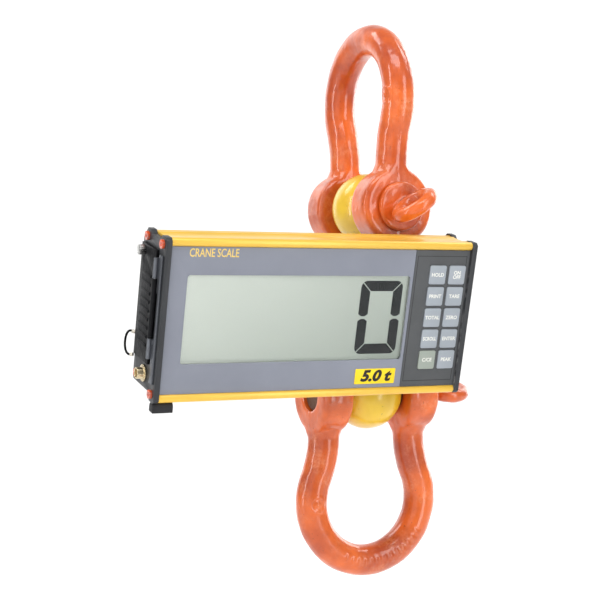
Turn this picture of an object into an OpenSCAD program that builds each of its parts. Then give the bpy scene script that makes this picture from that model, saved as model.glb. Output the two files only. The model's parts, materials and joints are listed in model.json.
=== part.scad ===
// Crane scale: a load cell hung between two screw-pin bow shackles, with a tilted
// display unit that slides on a bracket at the front and a short link cable behind.
// +Z is up and the display faces -Y. The origin is the inside crown of the upper bow,
// where a crane hook bears.

/* [Shackles] */
// Diameter of the bow's round bar
bar_d = 25; // [22:1:25]
// Diameter of the screw pin
pin_d = 25; // [22:0.5:25]
// Gap between the two ears
jaw_gap = 50; // [49:0.5:52]
// Outside diameter of an ear
ear_d = 60; // [57:1:61]
// Thickness of an ear
ear_t = 26; // [26:1:28]
// Widest inside width of the bow
bow_inside_w = 72; // [70:1:76]
// Pin centre to the inside crown of the bow
bow_inside_l = 120; // [116:1:126]

/* [Load cell] */
// Distance between the two pin centres
pin_gap = 146; // [144:1:150]
// Radius of the ball-shaped eyes
ball_r = 28; // [26:0.5:29]
// Width of an eye across its two flats
ball_w = 48; // [46:0.5:48]
// Diameter of the neck
neck_d = 29; // [26:1:29]

/* [Cell housing] */
// Outside diameter of the sleeve
sleeve_d = 41; // [40:0.5:43]
// Height of the sleeve
sleeve_h = 66; // [62:1:68]
// Height of the block at mid-height
block_h = 43; // [41:1:45]
// Width of the block across the load line
block_w = 45; // [45:0.5:47]

/* [Display unit] */
// Width over both end plates
display_w = 242; // [236:1:248]
// Height over both rails
display_h = 115; // [113:1:118]
// Depth of the case
display_d = 44; // [43:0.5:46]
// Forward tilt, so that the face looks down at the reader
display_tilt = 13.5; // [12:0.5:15]
// Sideways place of the display's middle on the bracket
display_shift = -88; // [-92:1:-84]
// Width of the viewing window
window_w = 172; // [166:1:173]
// Height of the viewing window
window_h = 62.5; // [58:0.5:64]
// Travel of a key
key_travel = 0.8; // [0.4:0.1:0.9]

/* [Link cable] */
// Diameter of the cable
cable_d = 4; // [3.6:0.1:4.2]

/* [Hidden] */
$fn = 64;
gap = 0.08;                                   // clearance between fitted faces
hang = bow_inside_l + pin_gap / 2;            // hook seat down to the load cell's middle
pin_z = pin_gap / 2;
ear_x = jaw_gap / 2 + ear_t / 2;              // middle of an ear, along the pin
ear_out = jaw_gap / 2 + ear_t;                // outer face of an ear

// Bow centreline: a crown arc, two reverse arcs and two straight legs
crown_r = (bow_inside_w + bar_d) / 2;
crown_z = bow_inside_l + bar_d / 2 - crown_r;
flare_r = 80;
flare_dz = sqrt(pow(crown_r + flare_r, 2) - pow(ear_x + flare_r, 2));
flare_z = crown_z - flare_dz;
flare_a = atan2(flare_dz, ear_x + flare_r);
arc_bead = 0.03;                              // swell of the bar where two arcs meet

// Shoulder between a leg and its ear
shoulder_r = 18.5;
shoulder_z = [19, 34];
shoulder_inset = 0.3;                         // its flat sides, in from the ear's faces

// Screw pin
collar_r = 19;
collar_t = 5;
ring_r = 13.25;                               // middle of the eye's bar to the pin's axis
ring_bar = 11.5;
ring_rise = 17.5;                             // middle of the eye above the collar
pin_end_recess = 3;
thread_l = ear_t - pin_end_recess - 1;
thread_pitch = 3;
thread_depth = 0.9;
upper_eye_turn = 36;                          // lie of the eye about its pin
lower_eye_turn = 15;

// Cell housing
block_back = 46;                              // rear end of the block
cheek_back = 56;                              // rear end of the longer cheek
channel_x = [-13.5, 9.5];
channel_y = 28;
plug_x = -2;                                  // axis of the connector
clamp_x = 7.4;                                // a clamp screw, out from the plug's axis
core_r = neck_d / 2;
gauge_w = 19;
gauge_h = 30;
seal_r = core_r + 2.4;
seal_h = 4;
lug_y = [-33.5, -15];
lug_z = [9.5, 18.5];
lug_x = 4;
lug_screw = [-27.5, 14];                      // y and z of a bracket screw
lug_face = -22.8;                             // front of the block, where the bracket's web ends
shell_screw = [21.5, 16];                     // y and z of a shell screw
cavity_z = 11;

// Bracket
sheet = 2.5;
face_x = [-27.5, lug_x + sheet];
face_half_h = 33;
rail_h = 8;
rail_d = 7;

// Display unit, in its own frame: x across, y back from the face, z up
face_y = -95;                                 // face's middle, before the load line
face_z = -11.5;
end_t = 4;
inner_w = display_w - 2 * end_t;
rail_t = 6;                                   // height of a coloured rail
nose_d = 9;                                   // depth of a rail's nose
panel_h = display_h - 2 * rail_t;
wall = 2.5;
window_x = -17.3;
window_z = 0.8;
pad_x = 71;                                   // left edge of the keypad panel
key_w = 13.8;
key_h = 14.1;
key_pitch_x = 16.4;
key_pitch_z = 16.1;
key_x0 = 90.8;                                // middle of the first key
key_z0 = 33.2;
key_board_w = 33;
key_proud = 0.7;
key_t = 2.4;
plate_back = display_d + 1.5;                 // front of the bracket's face plate
hinge_y = 9.5;
hinge_x = -display_w / 2 - 2.5;
door_y = [11.2, 40.4];
door_z = [-33, 46.5];
DOOR_SCREW = [35.2, 41.8];                    // its y and z
port_y = 22;
port_z = -42;
port_r = 4;
gland_y = 30;
gland_z = 17;
gland_out = 6;                                // middle of the elbow, out from the end plate
boot_l = 18;
foot_r = 3.6;
loop_r = 12.5;                                // lanyard loop
loop_sunk = 3.9;                              // its middle, in from the end plate's back edge
end_screw_l = 10;
END_SCREWS = [                                // y and z of the four screws in an end plate
    [5.6, display_h / 2 - 5.4], [display_d - 8.5, display_h / 2 - 6],
    [5.6, 5.4 - display_h / 2], [display_d - 8.5, 11.5 - display_h / 2],
];
KNUCKLES = [[-28, -14], [28, 42]];            // hinge knuckles on the end plate, in z
CELL_R = 7.1;
CELL_Y = 25.2;
CELL_Z = [-19, -3, 13, 29];

// Point of the display's frame, in the load cell's frame
function from_display(p) = [
    p[0] + display_shift,
    face_y + p[1] * cos(display_tilt) - p[2] * sin(display_tilt),
    face_z + p[1] * sin(display_tilt) + p[2] * cos(display_tilt),
];

// Link cable's route, from inside the plug's grommet to inside the boot at the display
boot_x = display_w / 2 + gland_out;
boot_z = gland_z - 7 - boot_l;
cable_route = [
    [-2, 84, 0], [-2, 91, 0], [-2, 98, -0.6], [-1, 106, -3], [3, 113, -7.5], [10, 117, -13],
    [19, 117, -19], [28, 112, -25], [36, 104, -30], [43, 92, -34.5], [48, 78, -38.5],
    [51, 62, -41.5], [52.5, 44, -43], [53, 26, -43.3], [52, 8, -42.6], [50, -8, -41],
    [48, -22, -38.6], [45.5, -36, -34.5], [42.8, -48, -29.5], [40.3, -56.5, -23.5],
    from_display([boot_x, gland_y, boot_z - 7]),
    from_display([boot_x, gland_y, boot_z]),
    from_display([boot_x, gland_y, boot_z + 3]),
];

KEYS = [
    "key_hold", "key_power", "key_print", "key_tare", "key_total", "key_zero",
    "key_scroll", "key_enter", "key_cancel", "key_peak",
];

// ---------- frames ----------

// Frame of the load cell's middle
module in_cell() translate([0, 0, -hang]) children();

// Frame of the display: its face's middle, tilted forward
module in_display()
    in_cell() translate([display_shift, face_y, face_z]) rotate([display_tilt, 0, 0]) children();

// Upper shackle: the pin lies along Y with its eye at the front
module at_upper() in_cell() translate([0, 0, pin_z]) rotate([0, 0, -90]) children();

// Lower shackle: the bow hangs down, its pin lies along X
module at_lower() in_cell() translate([0, 0, -pin_z]) rotate([180, 0, 0]) children();

// ---------- shared shapes ----------

// Box from one corner to the other
module span(a, b) translate(a) cube(b - a);

// Cylinder along +X from x0 to x1
module along_x(r, x0, x1) translate([x0, 0, 0]) rotate([0, 90, 0]) cylinder(r = r, h = x1 - x0);

// Cylinder along +Y from y0 to y1
module along_y(r, y0, y1) translate([0, y0, 0]) rotate([-90, 0, 0]) cylinder(r = r, h = y1 - y0);

// Disc with rounded rims, on the X axis between x0 and x1
module soft_disc(r, x0, x1, rim)
    translate([x0, 0, 0]) rotate([0, 90, 0]) rotate_extrude() {
        square([r - rim, x1 - x0]);
        translate([0, rim]) square([r, x1 - x0 - 2 * rim]);
        for (z = [rim, x1 - x0 - rim]) translate([r - rim, z]) intersection() {
            circle(rim);
            translate([-rim / 2, -rim]) square([2 * rim, 2 * rim]);
        }
    }

// Rectangle with round corners, w by h about the origin
module soft_rect(w, h, r) {
    square([w - 2 * r, h], center = true);
    square([w, h - 2 * r], center = true);
    for (x = [-1, 1], y = [-1, 1]) translate([x * (w / 2 - r), y * (h / 2 - r)]) circle(r);
}

// Plate in the display's frame, w by h about (x, z), from y0 back to y1
module face_plate(x, z, w, h, r, y0, y1)
    translate([x, y1, z]) rotate([90, 0, 0]) linear_extrude(y1 - y0) soft_rect(w, h, r);

// Socket-head screw along +X: head from 0 to -head_h, shank to +l
module screw_x(head_r, head_h, shank_r, l) difference() {
    union() {
        along_x(head_r, -head_h, 0);
        along_x(shank_r, -0.5, l);
    }
    rotate([0, 90, 0]) translate([0, 0, -head_h - 1])
        cylinder(r = head_r * 0.5, h = head_h * 0.6 + 1, $fn = 6);
}

// ---------- shackles, pin along X and bow towards +Z ----------

// Part of a round ring of bar in the XZ plane, from one angle on through another
module bar_arc(r, from, through)
    rotate([90, 0, 0]) rotate([0, 0, from])
        rotate_extrude(angle = through) translate([r, 0]) circle(d = bar_d);

// Flared shoulder that carries a leg into its ear, as wide as the ear is thick
module shoulder() translate([ear_x, 0, 0]) intersection() {
    translate([0, 0, shoulder_z[0]])
        cylinder(r1 = shoulder_r, r2 = bar_d / 2 - 0.5, h = shoulder_z[1] - shoulder_z[0]);
    cube([ear_t - 2 * shoulder_inset, 2 * ear_d, 4 * ear_d], center = true);
}

module bow() difference() {
    union() {
        translate([0, 0, crown_z]) bar_arc(crown_r, -flare_a, 180 + 2 * flare_a);
        for (side = [0, 1]) mirror([side, 0, 0]) {
            translate([crown_r * cos(flare_a), 0, crown_z - crown_r * sin(flare_a)])
                sphere(bar_d / 2 + arc_bead);
            translate([ear_x + flare_r, 0, flare_z]) bar_arc(flare_r, 180 - flare_a, flare_a);
            translate([ear_x, 0, 0]) cylinder(d = bar_d, h = flare_z);
            shoulder();
            soft_disc(ear_d / 2, jaw_gap / 2, ear_out, 5);
        }
    }
    along_x(pin_d / 2 + gap, -ear_out - 1, ear_out + 1);
}

// Thread shown as ring grooves at the pin's end
module thread_grooves(x0, l)
    for (i = [0 : floor(l / thread_pitch) - 1]) translate([x0 + (i + 0.5) * thread_pitch, 0, 0])
        rotate([0, 90, 0]) rotate_extrude() polygon([
            [pin_d / 2 + 1, -thread_pitch * 0.45], [pin_d / 2 - thread_depth, 0],
            [pin_d / 2 + 1, thread_pitch * 0.45],
        ]);

module screw_pin(turn) {
    difference() {
        union() {
            along_x(pin_d / 2, -ear_out + pin_end_recess, ear_out + 1);
            soft_disc(collar_r, ear_out, ear_out + collar_t, 1.5);
        }
        thread_grooves(-ear_out + pin_end_recess, thread_l);
    }
    rotate([turn, 0, 0]) translate([ear_out + collar_t + ring_rise, 0, 0])
        rotate_extrude() translate([ring_r, 0]) circle(d = ring_bar);
}

module upper_bow() color("orangered") at_upper() bow();
module upper_pin() color("orangered") at_upper() screw_pin(upper_eye_turn);
module lower_bow() color("orangered") at_lower() bow();
module lower_pin() color("orangered") at_lower() screw_pin(lower_eye_turn);

// ---------- load cell ----------

// One eye at the top, its flats across Y
module cell_eye() {
    fillet_r = 12;
    fillet_z = pin_z - sqrt(pow(ball_r + fillet_r, 2) - pow(core_r + fillet_r, 2)) + 1;
    difference() {
        union() {
            translate([0, 0, pin_z]) intersection() {
                sphere(ball_r);
                cube([3 * ball_r, ball_w, 3 * ball_r], center = true);
            }
            rotate_extrude() difference() {
                translate([0, gauge_h / 2]) square([core_r + 5, pin_z - gauge_h / 2 - ball_r * 0.6]);
                translate([core_r, gauge_h / 2 - 1]) square([6, fillet_z - gauge_h / 2 + 1]);
                translate([core_r + fillet_r, fillet_z]) circle(fillet_r);
            }
        }
        translate([0, 0, pin_z]) along_y(pin_d / 2 + gap, -ball_w, ball_w);
    }
}

module load_cell() color("gold") in_cell() {
    cell_eye();
    rotate([180, 0, 90]) cell_eye();
    intersection() {
        cube([gauge_w, gauge_w, gauge_h + 2], center = true);
        cylinder(r = core_r - 1, h = gauge_h + 2, center = true);
    }
}

module strain_gauges() color("orange") in_cell()
    for (a = [0 : 90 : 270]) rotate([0, 0, a]) span([gauge_w / 2, -4, -6], [gauge_w / 2 + 0.4, 4, 6]);

module neck_seals() color("black") in_cell() for (s = [0, 1]) mirror([0, 0, s])
    translate([0, 0, sleeve_h / 2 - seal_h]) difference() {
        cylinder(r = seal_r, h = seal_h - 0.6);
        translate([0, 0, -1]) cylinder(r = core_r, h = seal_h + 2);
    }

// ---------- cell housing ----------

module housing() difference() {
    union() {
        cylinder(d = sleeve_d, h = sleeve_h, center = true);
        cylinder(d = block_w, h = block_h, center = true);
        block();
        for (s = [0, 1]) mirror([0, 0, s]) span([-lug_x, lug_y[0], lug_z[0]], [lug_x, lug_y[1], lug_z[1]]);
    }
    cylinder(r = core_r + gap, h = sleeve_h + 2, center = true);
    for (s = [0, 1]) mirror([0, 0, s])
        translate([0, 0, sleeve_h / 2 - seal_h]) cylinder(r = seal_r, h = seal_h + 1);
    span([channel_x[0], channel_y, -block_h], [channel_x[1], cheek_back + 1, block_h]);
    span([-10, core_r - 2, -cavity_z], [6, channel_y - 2.5, cavity_z]);
    translate([plug_x, 0, 0]) along_y(7.6, channel_y - 4, channel_y + 1);
    for (s = [-1, 1]) {
        translate([0, shell_screw[0], s * shell_screw[1]]) {
            along_x(1.75, -block_w, block_w);
            along_x(3.6, block_w / 2 - 3.5, block_w);
        }
        translate([0, lug_screw[0], s * lug_screw[1]]) along_x(2.1, -block_w, block_w);
    }
}

// Block behind the sleeve: a near cheek that carries the label and a longer far cheek
module block() {
    translate([0, 0, -block_h / 2]) linear_extrude(block_h) {
        translate([0, 0]) square([block_w / 2, block_back - 4]);
        translate([channel_x[1], 0]) square([block_w / 2 - channel_x[1] - 4, block_back]);
        translate([block_w / 2 - 4, block_back - 4]) circle(4);
        translate([-block_w / 2, 0]) square([block_w / 2, cheek_back - 3]);
        translate([-block_w / 2 + 3, 0]) square([block_w / 2 - 3 + channel_x[0], cheek_back]);
        translate([-block_w / 2 + 3, cheek_back - 3]) circle(3);
    }
}

module front_shell() color("dimgray") in_cell() intersection() {
    housing();
    span([0, -60, -60], [60, 80, 60]);
}

module rear_shell() color("dimgray") in_cell() intersection() {
    housing();
    span([-60, -60, -60], [-gap, 80, 60]);
}

module shell_screws() color("silver") in_cell() for (s = [-1, 1])
    translate([block_w / 2 - 3.5, shell_screw[0], s * shell_screw[1]]) mirror([1, 0, 0])
        screw_x(3.2, 3, 1.7, block_w - 8);

module amplifier_board() color("green") in_cell() {
    span([-3, core_r + 0.6, -cavity_z + 1], [-1.4, channel_y - 4.5, cavity_z - 1]);
    span([-1.4, core_r + 2, -4], [0.6, core_r + 6, 4]);
}

module cell_label() color("yellow") in_cell()
    translate([block_w / 2, 26.5, -3.5]) rotate([90, 0, 90]) linear_extrude(0.3) soft_rect(25, 24, 1.5);

// ---------- connector and plug, along +Y behind the load cell ----------

module socket() color("silver") in_cell() translate([plug_x, 0, 0]) difference() {
    union() {
        translate([0, channel_y, 0]) rotate([-90, 0, 0]) linear_extrude(2) soft_rect(21, 21, 3);
        along_y(7.4, channel_y - 3, channel_y + 1);
        along_y(8.2, channel_y, 42);
    }
    along_y(6.6, channel_y - 4, 43);
}

module socket_insert() color("black") in_cell() translate([plug_x, 0, 0]) {
    along_y(6.5, channel_y - 1, 38);
    for (a = [0 : 60 : 300]) rotate([0, a, 0]) translate([3.8, 0, 0]) along_y(0.6, 37, 41);
}

module coupling_ring() color("silver") in_cell() translate([plug_x, 36, 0]) rotate([-90, 0, 0])
    difference() {
        union() {
            linear_extrude(14) polygon([
                for (i = [0 : 71]) let (r = i % 2 ? 10.75 : 10.3) [r * cos(i * 5), r * sin(i * 5)],
            ]);
            cylinder(r = 10.5, h = 22.5);
        }
        translate([0, 0, -1]) cylinder(r = 8.5, h = 25);
    }

module plug_body() color("silver") in_cell() translate([plug_x, 0, 0]) difference() {
    union() {
        along_y(8.4, 43, 73);
        along_y(8.8, 60, 62);
    }
    along_y(5, 42, 70);
    along_y(cable_d / 2 + 0.6, 60, 74);
}

module cable_clamp() color("silver") in_cell() translate([plug_x, 0, 0]) difference() {
    union() {
        along_y(6.3, 73, 83.5);
        along_y(5.6, 83.5, 88);
        for (s = [-1, 1]) span([s * clamp_x - 2, 76, -4], [s * clamp_x + 2, 81, 4]);
    }
    along_y(cable_d / 2 + 0.6, 72, 89);
    for (s = [-1, 1]) translate([s * clamp_x, 78.5, 0]) cylinder(r = 1.25, h = 20, center = true);
}

module clamp_screws() color("silver") in_cell() for (s = [-1, 1])
    translate([plug_x + s * clamp_x, 78.5, 0]) rotate([0, s * 90, 0]) translate([-4, 0, 0])
        screw_x(2.4, 2.2, 1.2, 8);

module plug_grommet() color("black") in_cell() translate([plug_x, 0, 0]) difference() {
    union() {
        along_y(5.3, 88, 90);
        along_y(cable_d / 2 + 0.6, 80, 89);
        along_y(3.6, 89, 91);
    }
    along_y(cable_d / 2, 79, 92);
}

// ---------- link cable ----------

function unit(v) = v / norm(v);
// Point and direction on a Catmull-Rom curve through the route
function spline(p, i, t) = let (
    a = p[max(i - 1, 0)], b = p[i], c = p[i + 1], d = p[min(i + 2, len(p) - 1)]
) 0.5 * (2 * b + (c - a) * t + (2 * a - 5 * b + 4 * c - d) * t * t + (3 * b - a - 3 * c + d) * t * t * t);
function rings(p, per) = [for (i = [0 : len(p) - 2], k = [0 : per - 1]) spline(p, i, k / per), p[len(p) - 1]];
function heading(c, i) = unit(c[min(i + 1, len(c) - 1)] - c[max(i - 1, 0)]);
// Side direction carried along the curve without twist
function sides(c, i = 0, s = [0, 0, 1]) = i == len(c) ? [] :
    let (t = heading(c, i), n = unit(s - (s * t) * t)) concat([n], sides(c, i + 1, n));

module tube(points, r, n) {
    c = rings(points, 3);
    s = sides(c);
    m = len(c);
    ring_points = [for (i = [0 : m - 1], k = [0 : n - 1])
        let (t = heading(c, i), u = s[i], v = cross(t, u))
            c[i] + r * (u * cos(360 * k / n) + v * sin(360 * k / n))];
    walls = [for (i = [0 : m - 2], k = [0 : n - 1])
        let (a = i * n + k, b = i * n + (k + 1) % n) [a, a + n, b + n, b]];
    first_end = [for (k = [0 : n - 1]) k];
    last_end = [for (k = [n - 1 : -1 : 0]) (m - 1) * n + k];
    polyhedron(ring_points, concat(walls, [first_end], [last_end]));
}

module link_cable() color("gray") in_cell() tube(cable_route, cable_d / 2, 8);

// ---------- bracket ----------

// Y of the face plate's back, in the load cell's frame, at height z there
function plate_y(z) = let (up = (z - face_z - (plate_back + sheet) * sin(display_tilt)) / cos(display_tilt))
    face_y + (plate_back + sheet) * cos(display_tilt) - up * sin(display_tilt);

module bracket() color("dimgray") {
    in_cell() difference() {
        translate([lug_x, 0, 0]) rotate([90, 0, 90]) linear_extrude(sheet) polygon([
            [lug_face, -19], [lug_face, 19], [plate_y(19) - 1, 19], [plate_y(-19) - 1, -19],
        ]);
        for (s = [-1, 1]) translate([0, lug_screw[0], s * lug_screw[1]]) along_x(2.1, 0, 20);
        for (z = [-6, 6]) translate([0, -32, z]) along_x(2.4, 0, 20);
        span([0, -34.4, -6], [20, -29.6, 6]);
    }
    in_display() difference() {
        span([face_x[0] - display_shift, plate_back, -face_half_h],
             [face_x[1] - display_shift, plate_back + sheet, face_half_h]);
        for (z = [-14, 14]) translate([-display_shift - 18, 0, z]) along_y(3.2, 0, 60);
    }
    // Upper and lower stiffening lips, bent back from the face plate
    in_display() for (s = [-1, 1])
        span([face_x[0] - display_shift, plate_back + sheet - 0.5, s * 25 - 1.25],
             [face_x[1] - display_shift, plate_back + 8, s * 25 + 1.25]);
}

module bracket_screws() color("silver") in_cell() for (s = [-1, 1])
    translate([lug_x + sheet + 1, lug_screw[0], s * lug_screw[1]]) mirror([1, 0, 0]) screw_x(3.5, 4, 2, 17);

module bracket_washers() color("silver") in_cell() for (s = [-1, 1])
    translate([0, lug_screw[0], s * lug_screw[1]]) difference() {
        along_x(4.5, lug_x + sheet, lug_x + sheet + 1);
        along_x(2.1, 0, 20);
    }

module bracket_nuts() color("silver") in_cell() for (s = [-1, 1])
    translate([-lug_x, lug_screw[0], s * lug_screw[1]]) difference() {
        rotate([0, -90, 0]) cylinder(r = 4, h = 3.2, $fn = 6);
        along_x(2.05, -5, 1);
    }

// ---------- display case ----------

module display_case() color("slategray") in_display() difference() {
    span([-inner_w / 2, 3.5, -panel_h / 2], [inner_w / 2, display_d, panel_h / 2]);
    span([-inner_w / 2 - 1, 3, -panel_h / 2 + wall], [inner_w / 2 + 1, display_d - wall, panel_h / 2 - wall]);
    screw_bores();
}

// Coloured rail above the panel: a round nose, then a cover with two ridges and a low back edge
module rail_nose() {
    translate([2.6, panel_h / 2 + 3]) circle(3);
    translate([2.6, panel_h / 2]) square([nose_d - 2.6, rail_t - 0.4]);
}

module rail_cover() {
    translate([nose_d - 1, panel_h / 2]) square([34 - nose_d, 4.4]);
    translate([nose_d, panel_h / 2 + 3.2]) circle(2.4);
    translate([27, panel_h / 2 + 2.6]) circle(2.2);
    translate([33, panel_h / 2 + 2.6]) circle(2);
    translate([32, panel_h / 2]) square([display_d - 33, 2.4]);
}

module top_rail() color("gold") in_display() difference() {
    rotate([90, 0, 90]) translate([0, 0, -inner_w / 2]) linear_extrude(inner_w) {
        rail_nose();
        rail_cover();
    }
    screw_bores();
}

module bottom_rail() color("gold") in_display() difference() {
    mirror([0, 0, 1]) rotate([90, 0, 90]) translate([0, 0, -inner_w / 2]) linear_extrude(inner_w) rail_nose();
    screw_bores();
}

module front_panel() color("slategray") in_display() difference() {
    face_plate((pad_x - inner_w / 2) / 2, 0, pad_x + inner_w / 2, panel_h, 0.6, 1.5, 3.5);
    face_plate(window_x, window_z, window_w, window_h, 2, 0, 5);
}

module window() color("white") in_display()
    face_plate(window_x, window_z, window_w - 0.2, window_h - 0.2, 1.9, 2.3, 3.5);

module lcd_glass() color("darkseagreen") in_display()
    face_plate(window_x, window_z, window_w + 3, window_h + 3, 1, 3.9, 6.1);

module lcd_frame() color("black") in_display() difference() {
    face_plate(window_x, window_z, window_w + 6, window_h + 6, 1.5, 3.5, 9.4);
    face_plate(window_x, window_z, window_w, window_h, 2, 3, 5);
    face_plate(window_x, window_z, window_w + 3, window_h + 3, 1, 3.9, 10);
}

module main_board() color("green") in_display() {
    face_plate(window_x, 0, window_w + 4, 92, 1, 9.6, 11);
    for (i = [0 : 3]) face_plate(20 + i * 9, -38, 7, 5, 0.4, 11, 12.4);
    face_plate(40, 34, 16, 16, 0.4, 11, 12.6);
}

module keypad_panel() color("darkslategray") in_display() difference() {
    face_plate((pad_x + gap + inner_w / 2) / 2, 0, inner_w / 2 - pad_x - gap, panel_h, 0.6, 1.2, 3.5);
    for (i = [0 : 9]) face_plate(key_x(i), key_z(i), key_w + 0.5, key_h + 0.5, 1.6, 0, 5);
}

function key_x(i) = key_x0 + (i % 2) * key_pitch_x;
function key_z(i) = key_z0 - floor(i / 2) * key_pitch_z;

// One key: a soft-cornered cap with a wider foot behind the panel
module key(i) color("lightsteelblue") in_display() {
    face_plate(key_x(i), key_z(i), key_w, key_h, 1.4, 1.2 - key_proud, 1.2 - key_proud + key_t);
    face_plate(key_x(i), key_z(i), key_w + 1.4, key_h + 1.4, 1.4, 3.6, 4.2);
    face_plate(key_x(i), key_z(i), key_w - 3, key_h - 3, 1.4, 1.2, 4.2);
}

module key_board() color("green") in_display()
    face_plate(key_x0 + key_pitch_x / 2, 1, key_board_w, 88, 1, 4.2 + key_travel + gap, 6.6);

// Two channels across the back that the bracket's face plate slides in
module mount_rails() color("dimgray") in_display() for (s = [0, 1]) mirror([0, 0, s]) difference() {
    span([-inner_w / 2, display_d, face_half_h - 4],
         [inner_w / 2, display_d + rail_d, face_half_h + rail_h - 4]);
    span([-inner_w / 2 - 1, plate_back - 0.2, face_half_h - 5],
         [inner_w / 2 + 1, plate_back + sheet + 0.2, face_half_h + 0.4]);
}

// ---------- end plates ----------

// End plate outline in (y, z): proud of the face, low at the back and cut up behind the lower rail
module end_outline() polygon([
    [-1, -display_h / 2 + 2], [1, -display_h / 2], [nose_d, -display_h / 2], [nose_d + 1, -panel_h / 2 - 0.5],
    [display_d - 2, -panel_h / 2 - 0.5], [display_d, -panel_h / 2 + 1.5], [display_d, display_h / 2 - 8],
    [display_d - 7, display_h / 2 - 0.5], [display_d - 13, display_h / 2 - 0.5],
    [display_d - 16, panel_h / 2 + 3], [nose_d + 2, panel_h / 2 + 3], [nose_d, display_h / 2],
    [1, display_h / 2], [-1, display_h / 2 - 2],
]);

module end_plate() rotate([90, 0, 90]) linear_extrude(end_t) end_outline();

// Bores of the end screws, through both end plates and into the case and the rails
module screw_bores() for (side = [0, 1], p = END_SCREWS)
    mirror([side, 0, 0]) translate([-display_w / 2, p[0], p[1]]) along_x(1.8, -1, end_screw_l + 0.5);

module left_end_plate() color("dimgray") in_display() translate([-display_w / 2, 0, 0]) difference() {
    end_plate();
    translate([display_w / 2, 0, 0]) screw_bores();
    span([-1, door_y[0] + 0.8, door_z[0] + 1.5], [end_t + 1, door_y[1] - 1.5, door_z[1] - 1.5]);
    translate([0, port_y, port_z]) along_x(port_r + gap, -1, end_t + 1);
}

module right_end_plate() color("dimgray") in_display() translate([inner_w / 2, 0, 0]) difference() {
    end_plate();
    translate([-inner_w / 2, 0, 0]) screw_bores();
    translate([0, gland_y, gland_z]) along_x(5, -1, end_t + 1);
}

module end_screws() color("orangered") in_display() for (side = [0, 1], p = END_SCREWS)
    mirror([side, 0, 0]) translate([-display_w / 2, p[0], p[1]]) screw_x(3.1, 1.8, 1.7, end_screw_l);

// ---------- battery door on the left end ----------

module hinge_strip() color("silver") in_display() {
    difference() {
        span([-display_w / 2 - 1.6, 2.2, -44.4], [-display_w / 2, 7.5, 44.4]);
        span([-display_w / 2 - 2, 4.8, -18], [-display_w / 2 - 0.8, 8, 18]);
    }
    for (k = KNUCKLES) difference() {
        union() {
            translate([hinge_x, hinge_y, k[0]]) cylinder(r = 1.8, h = k[1] - k[0]);
            span([hinge_x + 0.9, 7, k[0]], [-display_w / 2, hinge_y, k[1]]);
        }
        translate([hinge_x, hinge_y, k[0] - 1]) cylinder(r = 0.85, h = k[1] - k[0] + 2);
    }
}

module hinge_pin() color("silver") in_display()
    translate([hinge_x, hinge_y, KNUCKLES[0][0]]) cylinder(r = 0.8, h = KNUCKLES[1][1] - KNUCKLES[0][0]);

module battery_door() color("black") in_display() {
    lo = KNUCKLES[0][1] + 0.4;
    hi = KNUCKLES[1][0] - 0.4;
    difference() {
        union() {
            span([-display_w / 2 - 2.2, door_y[0] + 0.4, door_z[0]],
                 [-display_w / 2 - 0.2, door_y[1], door_z[1]]);
            span([-display_w / 2 - 3.4, hinge_y, lo], [-display_w / 2 - 1.2, door_y[0] + 1, hi]);
            translate([hinge_x, hinge_y, lo]) cylinder(r = 1.8, h = hi - lo);
            for (z = [-22 : 6 : 26]) span([-display_w / 2 - 2.9, 17, z], [-display_w / 2 - 2, 35, z + 2]);
        }
        translate([hinge_x, hinge_y, lo - 1]) cylinder(r = 0.85, h = hi - lo + 2);
        translate([-display_w / 2, DOOR_SCREW[0], DOOR_SCREW[1]]) along_x(2.1, -6, 1);
    }
}

module door_screw() color("silver") in_display() translate([-display_w / 2, DOOR_SCREW[0], DOOR_SCREW[1]]) {
    rotate([0, -90, 0]) translate([0, 0, 2.3]) linear_extrude(4.2) polygon([
        for (i = [0 : 35]) let (r = i % 2 ? 3.6 : 3.25) [r * cos(i * 10), r * sin(i * 10)],
    ]);
    along_x(2, -4, -0.3);
}

module battery_cells() color("steelblue") in_display() for (z = CELL_Z) translate([-inner_w / 2, CELL_Y, z]) {
    along_x(CELL_R, 4, 52.5);
    along_x(CELL_R * 0.4, 52, 53.7);
}

module battery_tray() color("black") in_display() difference() {
    span([-inner_w / 2 + 2, CELL_Y - CELL_R - 1.5, CELL_Z[0] - CELL_R - 1.2],
         [-inner_w / 2 + 55.5, CELL_Y + CELL_R + 1.5, CELL_Z[3] + CELL_R + 1.2]);
    for (z = CELL_Z) translate([-inner_w / 2, CELL_Y, z]) along_x(CELL_R + 0.1, 1, 54);
}

module aux_port() color("gold") in_display() translate([-display_w / 2, port_y, port_z]) difference() {
    union() {
        along_x(port_r + 2, -1.4, 0);
        along_x(port_r, -6, 7);
    }
    along_x(port_r - 1.2, -7, 1);
}

// Steel-rope loop for a safety lanyard, standing out at the back corner
module lanyard_loop() color("black") in_display() translate([-display_w / 2, display_d - 1.6, -27])
    rotate([0, 0, -45]) translate([loop_sunk, 0, 0]) rotate([90, 0, 0]) rotate([0, 0, 115])
        rotate_extrude(angle = 130) translate([loop_r, 0]) circle(0.9);

module end_foot() color("black") in_display()
translate([-display_w / 2 + 0.5, 4.6, -display_h / 2 - foot_r]) {
    along_x(foot_r, 0, 15);
    span([0, -foot_r, -foot_r], [15, foot_r, 0]);
}

module capacity_label() color("yellow") in_display() face_plate(49.1, -42.8, 33, 11.4, 0.6, 1.2, 1.5);

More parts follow.
